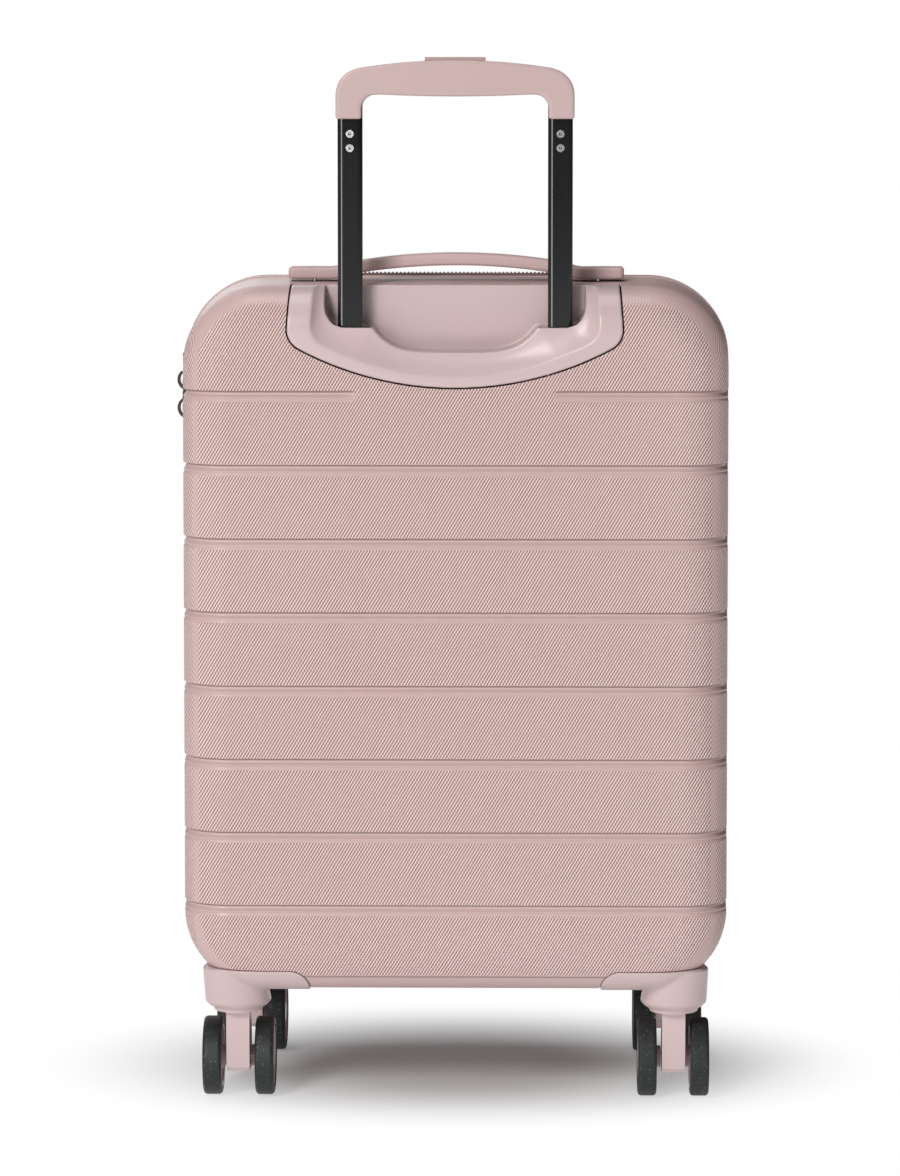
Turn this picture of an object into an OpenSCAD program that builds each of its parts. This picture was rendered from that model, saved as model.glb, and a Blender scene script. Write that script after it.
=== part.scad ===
// Hard shell cabin suitcase on four twin-wheel casters, with a telescopic trolley handle.
// Frame: X across the case, Y from the trolley side (-) to the front face (+), Z up, floor at 0.

/* [Case] */
// Width of the case at its rims
case_w = 355; // [340:1:380]
// Height of the top of the shells above the floor
case_top = 533; // [520:1:560]
// Height of the bottom of the shells above the floor
case_bottom = 73; // [72:1:74]
// Depth of each half, from the closing plane to its flat face
half_d = 115; // [112:1:120]
// Corner radius of the shells, seen from the front
corner_r = 52; // [48:1:56]
// Radius of the edge between the side walls and the flat face
edge_r = 30; // [26:1:34]
// Wall thickness of the shells
wall = 3.2; // [2.8:0.1:3.6]

/* [Grooves] */
// Height of the lowest groove's upper edge
groove_z = 133.4; // [130:0.1:136]
// Spacing of the grooves
groove_pitch = 47.2; // [46:0.1:48]
// Depth of the main channel of a groove
groove_depth = 1.7; // [1:0.1:2]

/* [Trolley handle] */
// Distance of each tube's axis from the middle
tube_x = 67.1; // [64:0.1:70]
// How far the handle stands out of its stowed place
handle_out = 133.5; // [130:0.5:134]
// Width of the grip
grip_w = 152; // [146:1:156]

/* [Casters] */
// Distance of each swivel axis from the middle, across the case
caster_x = 141.6; // [138:0.1:144]
// Distance of each swivel axis from the closing plane
caster_y = 73; // [72:1:78]
// Wheel radius
wheel_r = 25.5; // [24:0.1:26]
// Wheel width
wheel_w = 12.2; // [11:0.1:13]
// Distance from the swivel axis back to the axle
trail = 12; // [8:1:14]

/* [Hidden] */
$fn = 64;
tiny = 0.01;
hw = case_w / 2;
rim_v = 6;                 // the shells stop this far from the closing plane
draft = 3;                 // the walls lean in by this much towards the face
lip_h = 0.8;               // the rim lip stands this proud of the wall
lip_len = 7;
cx = hw - corner_r;        // corner axes
cz_low = case_bottom + corner_r;
cz_high = case_top - corner_r;
tube_y = -96;

// Telescopic stages: [width, depth, corner radius, wall]
inner_tube = [15.8, 11.6, 3, 1.2];
middle_tube = [19.6, 15.4, 4, 1.4];
outer_tube = [23.6, 19.4, 5, 1.5];
flute_w = 5.2;
flute_deep = 0.5;
cup_floor = 499;
cup_floor_t = 3.5;
scoop_y = 108.5;           // depth where the scoop meets the recess
panel_y = -82;             // back wall of the grip's recess
foot_top = 100;
leg_bottom = cup_floor + 4.4 + handle_out;
grip_top = leg_bottom + 37.4;

// Grip's bar, seen from the front
bar_low = leg_bottom + 15.5;
grip_depth = 22;
button_w = 38.6;

// Rim tape and zip coil, measured in from the outer surface
tape_in = wall + 0.5;
tape_t = 1;
tape_edge = 0.45;

lock_z = 456;
slider_up_z = 471.5;
slider_low_z = 439.5;
pull_r = 6.7;

boss_bottom = 60.5;
boss_r = 21.5;
cap_r = 17;                // cap of the fork, which turns inside the boss
cap_top = 62.7;
seam_z = 89.8;              // top of the housings' seam
boss_top = 95;
pin_r = 5;
running = 0.05;
axle_r = 3;
hub_r = 20.4;
hub_in = 10.9;             // from the swivel axis to the hub's inner face
band_y = -45;
band_w = 26;
band_half = 108.6;
strap_y = -60;
divider_y = 9;

pink = [0.78, 0.62, 0.60];
pale_pink = [0.80, 0.66, 0.65];

// ---------------------------------------------------------------- shared shapes

module round_rect(w, d, r) {
    square([w - 2 * r, d], center = true);
    square([w, d - 2 * r], center = true);
    for (sx = [-1, 1], sy = [-1, 1])
        translate([sx * (w / 2 - r), sy * (d / 2 - r)]) circle(r);
}

// Places a child for each side of the case
module both_sides() {
    children();
    mirror([1, 0, 0]) children();
}

// Section of one half, from a corner's axis outwards (x) and from the closing plane in (y),
// moved in from the outer surface by k
module half_section(k) {
    u = corner_r;
    bend = half_d - edge_r;
    polygon([[0, rim_v], [u - k, rim_v], [u - draft - k, bend], [0, bend]]);
    translate([0, bend - tiny]) square([u - draft - edge_r, edge_r + tiny - k]);
    intersection() {
        translate([u - draft - edge_r, bend]) circle(edge_r - k, $fn = 96);
        translate([0, bend - tiny]) square([u, edge_r + 1]);
    }
}

// Sweeps a 2-D section round the case's outline. Section x is outwards from a corner's axis.
module round_the_outline() {
    side_len = cz_high - cz_low;
    for (sx = [-1, 1], up = [0, 1])
        translate([sx * cx, up ? cz_high : cz_low, 0])
            rotate([0, 0, sx > 0 ? (up ? 0 : -90) : (up ? 90 : 180)])
                rotate_extrude(angle = 90, $fn = 96) children();
    for (sx = [-1, 1])
        translate([sx * cx, sx > 0 ? cz_high : cz_low, 0])
            rotate([90, 0, sx > 0 ? 0 : 180]) linear_extrude(side_len) children();
    for (up = [0, 1])
        translate([up ? -cx : cx, up ? cz_high : cz_low, 0])
            rotate([90, 0, up ? 90 : -90]) linear_extrude(2 * cx) children();
}

// Turns the flat frame (x, height, depth) into the case's frame, for the back half
module to_back() { rotate([90, 0, 0]) children(); }
module to_front() { mirror([0, 1, 0]) to_back() children(); }

module half_tray(t) {
    round_the_outline() difference() { half_section(0); translate([0, -tiny]) half_section(t); }
    translate([-cx - tiny, cz_low - tiny, half_d - t])
        cube([2 * cx + 2 * tiny, cz_high - cz_low + 2 * tiny, t]);
    // Lip round the rim
    round_the_outline() translate([corner_r - 1, rim_v]) square([1 + lip_h, lip_len - 1.5]);
}

// Solid space inside one half, moved in from the outer surface by k
module half_solid(k) {
    round_the_outline() half_section(k);
    translate([-cx - tiny, cz_low - tiny, rim_v])
        cube([2 * cx + 2 * tiny, cz_high - cz_low + 2 * tiny, half_d - k - rim_v]);
}

// Cross-section of one half through the straight part of its sides, in X and Y
module plan_section(k) {
    mirror([0, 1]) {
        translate([cx, 0]) half_section(k);
        mirror([1, 0]) translate([cx, 0]) half_section(k);
        translate([-cx - tiny, rim_v]) square([2 * cx + 2 * tiny, half_d - k - rim_v]);
    }
}

// One groove: a channel, then a shallow step below it. It stops at the rim lip.
module groove(z_up, from_x = -1) {
    channel_w = 4.2;
    step_w = 2.6;
    for (cut = [[groove_depth, channel_w, 0], [0.7, step_w, channel_w + 0.8]])
        translate([0, 0, z_up - cut[1] - cut[2]]) linear_extrude(cut[1]) difference() {
            for (sx = [-1, 1]) intersection() {
                translate([-hw - 5, -half_d - 5]) square([2 * hw + 10, half_d - rim_v - lip_len + 5]);
                translate([sx > 0 ? from_x : -hw - 5, -half_d - 5])
                    square([hw + 5 - from_x, half_d]);
            }
            plan_section(cut[0]);
        }
}

// ---------------------------------------------------------------- recess for the trolley grip

// Outline of a smile-shaped plate: side distance, lowest point, lower arc's radius, all grown by g
module smile(side, low, arc_r, g = 0) {
    r = 14;
    mid = low + arc_r;
    rz = mid - sqrt(pow(arc_r - r, 2) - pow(side - r, 2));
    touch = (side - r) * arc_r / (arc_r - r);
    top = case_top + 12;
    intersection() {
        translate([0, mid]) circle(arc_r + g, $fn = 200);
        translate([-touch, low - 5]) square([2 * touch, rz - low + 5]);
    }
    polygon([[-side - g, rz], [side + g, rz], [side + g - 3, top], [-side - g + 3, top]]);
    for (sx = [-1, 1]) translate([sx * (side - r), rz]) circle(r + g);
}

module cup_outline(g = 0) { smile(107, 466.2, 212, g); }
module bezel_inside() { smile(92.2, 473.1, 187); }

module recess_outline() {
    ledge = 504.5;
    r = 13;
    side = 83.3;
    top = case_top + 10;
    translate([-side, ledge + r]) square([2 * side, top - ledge - r]);
    for (sx = [-1, 1]) translate([sx * (side - r), ledge + r]) circle(r);
    translate([-side + r, ledge]) square([2 * (side - r), r + 1]);
    polygon([[-54.5, ledge + 1], [-54.5, ledge], [-36, 491.6], [-24, 488.8], [24, 488.8],
        [36, 491.6], [54.5, ledge], [54.5, ledge + 1]]);
}

// A prism of a front-view outline between two depths
module upright(y0, y1) { translate([0, y1, 0]) rotate([90, 0, 0]) linear_extrude(y1 - y0) children(); }

module tube_hole(size, clear, z0, z1) {
    for (sx = [-1, 1]) translate([sx * tube_x, tube_y, z0])
        linear_extrude(z1 - z0) round_rect(size[0] + 2 * clear, size[1] + 2 * clear, size[2]);
}

module handle_cup() {
    color(pale_pink) difference() {
        intersection() {
            // The case's own rounded top edge, run straight across
            translate([-120, 0, 0]) rotate([90, 0, 90]) linear_extrude(240)
                translate([0, cz_high]) rotate([0, 0, 90]) {
                    half_section(0);
                    translate([-60, rim_v]) square([60 + tiny, half_d - rim_v]);
                }
            upright(-half_d - 1, panel_y + 4) cup_outline();
        }
        upright(-half_d - 1, panel_y) recess_outline();
        hull() {
            upright(-half_d - 1, -half_d) bezel_inside();
            upright(-scoop_y - 1, -scoop_y) recess_outline();
        }
        for (sx = [-1, 1]) translate([sx * tube_x - 13, tube_y - 11, cup_floor])
            cube([26, 22, 10]);
        tube_hole(middle_tube, 0.3, 480, cup_floor + 1);
        tube_hole(outer_tube, 0.05, 460, cup_floor - cup_floor_t);
        // Hollow behind the lower scoop
        translate([-40, -108, 460]) cube([80, 40, 18]);
    }
}

// ---------------------------------------------------------------- wheel housings

// Front-view and side-view outlines of a wheel housing's place in the shell, grown by g
module housing_front_view(g) {
    inner_x = 93.8;
    r = 13;
    translate([inner_x + r, 40]) square([120, seam_z - 40 + g]);
    translate([inner_x - g, 40]) square([120, seam_z - 40 - r]);
    translate([inner_x + r, seam_z - r]) circle(r + g);
}

module housing_side_view(g) {
    inner_y = 31;
    r = 13;
    translate([-130, 40]) square([130 - inner_y - r, seam_z - 40 + g]);
    translate([-130, 40]) square([130 - inner_y + g, seam_z - 40 - r]);
    translate([-inner_y - r, seam_z - r]) circle(r + g);
}

module housing_place(g = 0) {
    intersection() {
        upright(-half_d - 5, 0) housing_front_view(g);
        translate([80, 0, 0]) rotate([90, 0, 90]) linear_extrude(120) housing_side_view(g);
    }
}

// Swivel boss: a round foot that widens up into the shell's corner
module boss() {
    hull() {
        translate([0, 0, boss_bottom]) cylinder(r = boss_r - 4, h = 1, $fn = 32);
        translate([0, 0, boss_bottom + 4]) cylinder(r = boss_r, h = 1, $fn = 32);
        translate([2.2, -12, seam_z - 2]) cylinder(r = 20, h = 1, $fn = 32);
    }
    translate([0, 0, seam_z - 3]) cylinder(r = 14, h = boss_top - seam_z + 3);
}

screw_ys = [-80, -46];
flange_top = 82;

module wheel_housing() {
    color(pale_pink) difference() {
        union() {
            intersection() {
                to_back() union() {
                    half_solid(0);
                    translate([0, -2, 0]) half_solid(0.2);
                }
                housing_place();
            }
            translate([caster_x, -caster_y, 0]) boss();
            // Flange over the shell's floor, for the screws
            intersection() {
                translate([83, -90, case_bottom]) cube([21, 52, flange_top - case_bottom]);
                to_back() half_solid(wall + 0.15);
            }
        }
        intersection() {
            to_back() translate([0, 0, -tiny]) half_solid(wall);
            difference() {
                translate([60, -130, 60]) cube([140, 130, 60]);
                translate([caster_x, -caster_y, 0]) cylinder(r = 16, h = 120);
                translate([83, -90, case_bottom]) cube([21, 52, flange_top - case_bottom]);
            }
        }
        translate([caster_x, -caster_y, boss_bottom - 1]) {
            cylinder(r = pin_r + running, h = 60);
            cylinder(r = cap_r + 0.8, h = cap_top + 0.5 - boss_bottom + 1);
        }
        for (y = screw_ys) translate([87, y, case_bottom]) cylinder(r = 1.6, h = 12, $fn = 24);
    }
}

// ---------------------------------------------------------------- shells

module shell_cuts() {
    for (sx = [0, 1]) mirror([sx, 0, 0]) housing_place(0.5);
    for (i = [0:6]) groove(groove_z + i * groove_pitch);
    both_sides() for (y = screw_ys) translate([87, y, case_bottom - 1]) cylinder(r = 1.6, h = 10, $fn = 24);
}

module back_shell() {
    color(pink) difference() {
        to_back() half_tray(wall);
        shell_cuts();
        groove(groove_z + 7 * groove_pitch, 61.2);
        upright(-half_d - 1, panel_y + 4.5) cup_outline(0.5);
        // Pocket for the lock's face plate, and the opening for its body
        translate([-hw - 2, -36.3, lock_z - 28.3]) cube([3.25, 31, 56.6]);
        translate([-hw - 2, -34.3, lock_z - 26.3]) cube([12, 20, 52.6]);
        // Screw holes of the carrying handle
        for (sx = [-1, 1]) translate([sx * 92, band_y, case_top - 6]) cylinder(r = 2.1, h = 10, $fn = 24);
    }
}

module front_shell() {
    color(pink) difference() {
        to_front() half_tray(wall);
        mirror([0, 1, 0]) {
            shell_cuts();
            groove(groove_z + 7 * groove_pitch);
        }
    }
}

// ---------------------------------------------------------------- zip

module zip_tape() {
    u = corner_r;
    color([0.35, 0.27, 0.26]) round_the_outline() {
        translate([u - tape_in - tape_t, 1.2]) square([tape_t, 12.8]);
        translate([u - tape_in - tape_t - 0.7, tape_edge]) square([tape_t + 1.4, 1.5]);
    }
}

module zip_slider(z) {
    x_tape = -(hw - tape_in);
    color([0.08, 0.08, 0.09]) difference() {
        union() {
            translate([x_tape - 2.2, -3.6, z - 5.5]) cube([1.1, 7.2, 11]);
            translate([x_tape + 2.1, -3.6, z - 5.5]) cube([1.1, 7.2, 11]);
            translate([x_tape - 2.2, -0.25, z - 1.5]) cube([5.4, 0.5, 3]);
            translate([x_tape - 5.2, -0.9, z - 2.6]) cube([3.2, 1.8, 5.2]);
        }
        translate([x_tape - 3.7, 0, z]) rotate([90, 0, 0]) cylinder(r = 1.1, h = 8, center = true, $fn = 24);
    }
}

// An arched pull, from its pivot in the slider's bridge towards the lock (dir -1 down, 1 up)
module zip_pull(z, dir) {
    x = -(hw - tape_in) - 3.7;
    color([0.07, 0.07, 0.08]) {
        translate([x, 0, z]) rotate([90, 0, 0]) cylinder(r = 1, h = 5.2, center = true, $fn = 24);
        for (y = [-2.6, 1.2]) intersection() {
            translate([x, y + 1.4, z]) rotate([90, 0, 0]) cylinder(r = 1.45, h = 1.4, $fn = 24);
            translate([x - 3, y, z - 3]) cube([6, 1.4, 6]);
        }
        difference() {
            intersection() {
                translate([x, 2.6, z + dir * pull_r]) rotate([90, 0, 0]) difference() {
                    cylinder(r = pull_r + 0.9, h = 5.2);
                    translate([0, 0, -1]) cylinder(r = pull_r - 0.9, h = 8);
                }
                translate([x - 10, -2.6, z + dir * pull_r - 9]) cube([10, 5.2, 18]);
            }
            translate([x, 0, z]) rotate([90, 0, 0]) cylinder(r = 3.4, h = 2.4, center = true, $fn = 32);
        }
    }
}

// ---------------------------------------------------------------- lock

dial_zs = [lock_z - 8, lock_z, lock_z + 8];
dial_x = -(hw - 4.8);
dial_y = -24;
dial_r = 7.4;

module lock_case() {
    x0 = -hw - 1.4;
    color([0.1, 0.1, 0.11]) {
        difference() {
            union() {
                translate([x0, -36, lock_z - 28]) cube([2.6, 29.8, 56]);
                translate([x0 + 1, -34, lock_z - 26]) cube([17, 19.4, 52]);
                translate([x0, -8, lock_z - 7]) cube([1.1, 4.8, 14]);
            }
            for (z = dial_zs) translate([x0 - 1, dial_y - 8.2, z - 2.8]) cube([15.5, 16.4, 5.6]);
            translate([x0 - 1, dial_y - 5.2, lock_z + 15.8]) cube([8, 10.4, 8.4]);
            translate([x0 - 1, dial_y, lock_z - 19]) rotate([0, 90, 0]) cylinder(r = 4, h = 1.6, $fn = 32);
            translate([x0 - 1, dial_y - 0.5, lock_z - 21.5]) cube([3.6, 1, 5]);
            for (z = [lock_z - 4.2, lock_z + 2.2]) translate([x0 - 1, -6.4, z]) cube([4, 2, 2]);
        }
        translate([dial_x, dial_y, lock_z - 12]) cylinder(r = 1.5, h = 24, $fn = 32);
    }
}

module lock_dial(i) {
    color([0.16, 0.16, 0.17]) translate([dial_x, dial_y, dial_zs[i] - 2.4]) difference() {
        cylinder(r = dial_r, h = 4.8, $fn = 64);
        translate([0, 0, -1]) cylinder(r = 1.55, h = 8, $fn = 32);
        for (a = [0:36:324]) rotate([0, 0, a]) translate([dial_r + 0.4, 0, -1]) cylinder(r = 0.9, h = 8, $fn = 16);
    }
}

module lock_button() {
    color([0.45, 0.45, 0.47]) translate([-hw - 2.7, dial_y - 5, lock_z + 16]) cube([5.2, 10, 8]);
}

// ---------------------------------------------------------------- carrying handle

// Side view of the whole band in X and Z: flat end pads and a low arch between them
module band_view() {
    pad = 36;
    pad_top = 541;
    mid_top = 550;
    run = band_half - pad;
    rise = mid_top - pad_top - 2.5;
    arch_r = (run * run + rise * rise) / (2 * rise);
    thick = 7.8;
    intersection() {
        translate([0, mid_top - arch_r]) difference() {
            circle(arch_r, $fn = 256);
            circle(arch_r - thick, $fn = 256);
        }
        translate([-run - 8, 500]) square([2 * run + 16, 60]);
    }
    for (sx = [-1, 1]) translate([sx * (band_half - pad / 2) - pad / 2, case_top + 0.3])
        square([pad, pad_top - case_top - 0.3]);
}

centre_half = 46;

module carry_band_centre() {
    color(pink) intersection() {
        upright(band_y - band_w / 2, band_y + band_w / 2) band_view();
        translate([-centre_half, band_y - band_w, 500]) cube([2 * centre_half, 2 * band_w, 80]);
    }
}

module carry_band_ends() {
    color(pink) difference() {
        upright(band_y - band_w / 2, band_y + band_w / 2) band_view();
        translate([-centre_half - 0.3, band_y - band_w, 500]) cube([2 * centre_half + 0.6, 2 * band_w, 80]);
        for (sx = [-1, 1]) translate([sx * 92, band_y, case_top - 1]) cylinder(r = 1.6, h = 6, $fn = 24);
    }
}

// ---------------------------------------------------------------- trolley handle

module tube(size, z0, z1) {
    for (sx = [-1, 1]) translate([sx * tube_x, tube_y, z0]) linear_extrude(z1 - z0) difference() {
        round_rect(size[0], size[1], size[2]);
        round_rect(size[0] - 2 * size[3], size[1] - 2 * size[3], size[2] - size[3]);
    }
}

inner_low = 256;
inner_high = leg_bottom + 18;
middle_low = 108;
middle_high = cup_floor + 0.4;

module outer_tubes() { color([0.12, 0.13, 0.13]) tube(outer_tube, foot_top, cup_floor - cup_floor_t - 0.05); }
module middle_tubes() { color([0.10, 0.11, 0.11]) tube(middle_tube, middle_low, middle_high); }

module inner_tubes() {
    color([0.08, 0.09, 0.09]) difference() {
        tube(inner_tube, inner_low, inner_high);
        // Channel down the front and back of each tube
        for (sx = [-1, 1], sy = [-1, 1])
            translate([sx * tube_x - flute_w / 2, tube_y + sy * inner_tube[1] / 2 - flute_deep, inner_low - 1])
                cube([flute_w, 2 * flute_deep, inner_high - inner_low + 2]);
        for (sx = [-1, 1], z = rivet_zs) translate([sx * tube_x, tube_y, z]) {
            rotate([90, 0, 0]) cylinder(r = 1.6, h = 20, center = true, $fn = 24);
            for (sy = [-1, 1]) translate([0, sy * (inner_tube[1] / 2 - 0.6), 0]) rotate([-sy * 90, 0, 0])
                cylinder(r = 2.6, h = 2, $fn = 32);
        }
    }
}

// Collars at the top of the middle tubes and plugs at their foot
module middle_guides() {
    color([0.15, 0.15, 0.16]) for (sx = [-1, 1]) translate([sx * tube_x, tube_y, 0]) {
        translate([0, 0, middle_high]) linear_extrude(3.6) difference() {
            round_rect(22, 18, 4.5);
            round_rect(inner_tube[0] + 0.3, inner_tube[1] + 0.3, 3.1);
        }
        translate([0, 0, middle_low - 6]) linear_extrude(5.9) difference() {
            round_rect(20.3, 16.1, 4.2);
            circle(3.4);
        }
    }
}

module inner_guides() {
    color([0.15, 0.15, 0.16]) for (sx = [-1, 1]) translate([sx * tube_x, tube_y, 0]) difference() {
        union() {
            translate([0, 0, inner_low - 10]) linear_extrude(9.95) round_rect(16.5, 12.3, 3.2);
            translate([0, 0, inner_low - 1]) linear_extrude(9) round_rect(13.2, 9, 1.7);
        }
        translate([0, 0, inner_low - 20]) cylinder(r = 2.8, h = 40);
    }
}

rivet_zs = [leg_bottom - 9.5, leg_bottom - 18.5];

module tube_rivets() {
    color([0.75, 0.75, 0.76]) for (sx = [-1, 1], z = rivet_zs, sy = [-1, 1])
        translate([sx * tube_x, tube_y + sy * (inner_tube[1] / 2 - 0.6), z]) rotate([-sy * 90, 0, 0]) difference() {
            union() {
                cylinder(r = 2.5, h = 0.55, $fn = 32);
                translate([0, 0, -1]) cylinder(r = 1.55, h = 1.2, $fn = 32);
            }
            translate([0, 0, -3]) cylinder(r = 0.95, h = 6, $fn = 32);
        }
}

// Front view of the grip: a low arched bar with two legs
module grip_view() {
    hx = grip_w / 2;
    corner = 17;
    shoulder = grip_top - 5;
    cap_half = 62;
    cap_r = (cap_half * cap_half + 25) / 10;
    difference() {
        union() {
            translate([-hx, leg_bottom]) square([2 * hx, shoulder - corner - leg_bottom]);
            translate([-hx + corner, leg_bottom]) square([2 * (hx - corner), shoulder - leg_bottom]);
            for (sx = [-1, 1]) translate([sx * (hx - corner), shoulder - corner]) circle(corner);
            intersection() {
                translate([0, grip_top - cap_r]) circle(cap_r, $fn = 256);
                translate([-cap_half, shoulder - 10]) square([2 * cap_half, 20]);
            }
        }
        difference() {
            union() {
                translate([-51, leg_bottom - 1]) square([102, bar_low + 1 - leg_bottom]);
                translate([-59.5, leg_bottom - 1]) square([119, bar_low - 7.5 - leg_bottom]);
                for (sx = [-1, 1]) translate([sx * 51, bar_low - 8.5]) circle(8.5);
            }
            translate([0, bar_low - 1.2 + 900]) circle(900, $fn = 400);
        }
        translate([-hx, leg_bottom - corner]) square([2 * hx, corner]);
    }
}

module grip() {
    color(pale_pink) difference() {
        upright(tube_y - grip_depth / 2, tube_y + grip_depth / 2) grip_view();
        // Sockets for the tubes, and the space for the release bar
        tube_hole(inner_tube, 0.05, leg_bottom - 1, inner_high + 0.1);
        translate([-tube_x - 5, tube_y - 5, inner_high]) cube([2 * tube_x + 10, 10, 10.5]);
        translate([-button_w / 2 - 0.3, tube_y - 6.3, inner_high + 4]) cube([button_w + 0.6, 12.6, 30]);
    }
}

module release_button() {
    color(pink) translate([-button_w / 2, tube_y - 6, inner_high + 7.2])
        cube([button_w, 12, grip_top + 2 - inner_high - 7.2]);
}

module push_rods() {
    color([0.6, 0.6, 0.62]) {
        translate([-tube_x - 3, tube_y - 3.5, inner_high + 3.2]) cube([2 * tube_x + 6, 7, 4]);
        for (sx = [-1, 1]) translate([sx * tube_x, tube_y, inner_low + 1])
            cylinder(r = 2.5, h = inner_high + 3.4 - inner_low - 1, $fn = 32);
    }
}

module tube_foot_blocks() {
    color([0.15, 0.15, 0.16]) for (sx = [-1, 1]) difference() {
        intersection() {
            translate([sx * tube_x - 15, tube_y - 20, case_bottom]) cube([30, 33, foot_top + 6 - case_bottom]);
            to_back() half_solid(wall + 0.1);
        }
        translate([sx * tube_x, tube_y, foot_top - tiny]) linear_extrude(20)
            round_rect(outer_tube[0] + 0.1, outer_tube[1] + 0.1, 5);
    }
}

// ---------------------------------------------------------------- lining and straps

// What the lining goes round, grown by g
module back_bulges(g) {
    both_sides() {
        translate([tube_x - 16 - g, -half_d, 0]) cube([32 + 2 * g, 34 + g, 600]);
        translate([79 - g, -half_d, 0]) cube([110, half_d - 29 + g, 100 + g]);
    }
    translate([-110 - g, -half_d, 461 - g]) cube([220 + 2 * g, 40 + g, 120]);
    translate([-hw - 1, -37 - g, lock_z - 29 - g]) cube([20 + g, 40, 58 + 2 * g]);
    translate([-110 - g, -62 - g, case_top - wall - 7 - g]) cube([220 + 2 * g, 34 + 2 * g, 30]);
}

module front_bulges(g) {
    both_sides() translate([79 - g, 29 - g, 0]) cube([110, half_d, 100 + g]);
}

module back_lining() {
    color([0.30, 0.25, 0.25]) difference() {
        intersection() {
            difference() { to_back() half_solid(wall + 0.3); back_bulges(0); }
            translate([-300, -200, 0]) cube([600, 200 - 15.5, 700]);
        }
        difference() { to_back() half_solid(wall + 1.3); back_bulges(1); }
    }
}

module front_lining() {
    color([0.30, 0.25, 0.25]) difference() {
        intersection() {
            difference() { to_front() half_solid(wall + 0.3); front_bulges(0); }
            translate([-300, 15.5, 0]) cube([600, 200, 700]);
        }
        difference() { to_front() half_solid(wall + 1.3); front_bulges(1); }
    }
}

module packing_straps() {
    reach = [171, 135];
    mid = [22, 285];
    for (sx = [-1, 1], sz = [-1, 1]) {
        from = [sx * mid[0], mid[1] + sz * 6];
        to = [sx * reach[0], mid[1] + sz * reach[1]];
        d = to - from;
        color([0.12, 0.12, 0.13]) intersection() {
            translate([from[0], strap_y + (sz > 0 ? 0.1 : -1.5), from[1]])
                rotate([0, -atan2(d[1], d[0]), 0]) translate([4, 0, -12.5]) cube([norm(d) + 20, 1.4, 25]);
            to_back() half_solid(wall + 1.4);
        }
    }
    // Buckle
    color([0.1, 0.1, 0.11]) difference() {
        translate([-19, strap_y - 5, mid[1] - 16]) cube([38, 10, 32]);
        translate([-25, strap_y - 2, mid[1] - 14]) cube([13, 4, 28]);
        translate([12, strap_y - 2, mid[1] - 14]) cube([13, 4, 28]);
    }
}

module divider_panel() {
    color([0.22, 0.20, 0.20]) translate([-168, divider_y, 84]) rotate([90, 0, 0]) linear_extrude(1.6)
        translate([168, 221]) round_rect(336, 438, 44);
}

// ---------------------------------------------------------------- fasteners

module pan_screw(len) {
    cylinder(r = 1.5, h = len, $fn = 24);
    translate([0, 0, len - tiny]) difference() {
        cylinder(r1 = 3.3, r2 = 2.6, h = 1.8, $fn = 32);
        translate([0, 0, 0.8]) for (a = [0, 90]) rotate([0, 0, a]) translate([-1.6, -0.35, 0]) cube([3.2, 0.7, 2]);
    }
}

module housing_screws() {
    both_sides() for (y = screw_ys) translate([87, y, case_bottom + 3]) pan_screw(flange_top - case_bottom - 2.95);
}

module back_screws() {
    color([0.7, 0.7, 0.72]) {
        housing_screws();
        for (sx = [-1, 1]) translate([sx * 92, band_y, case_top + 4.8]) mirror([0, 0, 1])
            pan_screw(4.8 + wall + 1.7);
    }
}

module front_screws() { color([0.7, 0.7, 0.72]) mirror([0, 1, 0]) housing_screws(); }

// ---------------------------------------------------------------- casters

// Moves a child from a swivel axis at the origin to a caster. sx: -1 left, 1 right. sy: -1 back, 1 front.
module at_caster(sx, sy) { translate([sx * caster_x, sy * caster_y, 0]) children(); }

module fork() {
    leg_w = 15;
    eye_r = 8.2;
    color(pale_pink) difference() {
        union() {
            translate([0, 0, cap_top - 4.2]) cylinder(r1 = cap_r - 1.5, r2 = cap_r, h = 4.2);
            translate([-leg_w / 2, 0, 0]) rotate([90, 0, 90]) linear_extrude(leg_w) {
                translate([trail, wheel_r]) circle(eye_r);
                polygon([[-9, 60], [-8, 30], [-7, 21], [-4.5, 18.2], [trail, wheel_r - eye_r],
                    [trail + eye_r, wheel_r], [trail + eye_r - 1, 44], [13, 60]]);
            }
        }
        translate([-20, trail, wheel_r]) rotate([0, 90, 0]) cylinder(r = axle_r, h = 40);
        cylinder(r = pin_r, h = 61 + 20);
        translate([0, 0, 40]) cylinder(r = 3, h = 20);
    }
}

// Swivel pin, turning in the housing's boss, and the axle, pressed in the leg
module caster_pins() {
    color([0.72, 0.72, 0.74]) {
        difference() {
            union() {
                translate([0, 0, 50]) cylinder(r = pin_r, h = boss_top + 1 - 50);
                translate([0, 0, boss_top + 0.3]) cylinder(r = 8, h = 1.6);
            }
            translate([0, 0, 40]) cylinder(r = 1, h = 20);
        }
        translate([-20.9, trail, wheel_r]) rotate([0, 90, 0]) cylinder(r = axle_r, h = 41.8);
    }
}

// A hub at the origin of its caster, on the side given by sx
module hub(sx) {
    out = hub_in + wheel_w;
    color(pale_pink) translate([0, trail, wheel_r]) rotate([0, sx * 90, 0]) difference() {
        union() {
            translate([0, 0, hub_in]) cylinder(r = hub_r, h = wheel_w - 0.6, $fn = 96);
            translate([0, 0, 8.1]) cylinder(r = 7, h = hub_in - 8.1 + tiny);
        }
        translate([0, 0, 7]) cylinder(r = axle_r + running, h = out - 2.1 - 7);
        translate([0, 0, out - 1.8]) difference() {
            cylinder(r = 17.5, h = 3);
            translate([0, 0, -1]) cylinder(r = 6.5, h = 6);
        }
        translate([0, 0, hub_in - 1]) difference() {
            cylinder(r = 18, h = 5);
            translate([0, 0, -1]) cylinder(r = 9, h = 8);
        }
    }
}

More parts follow.
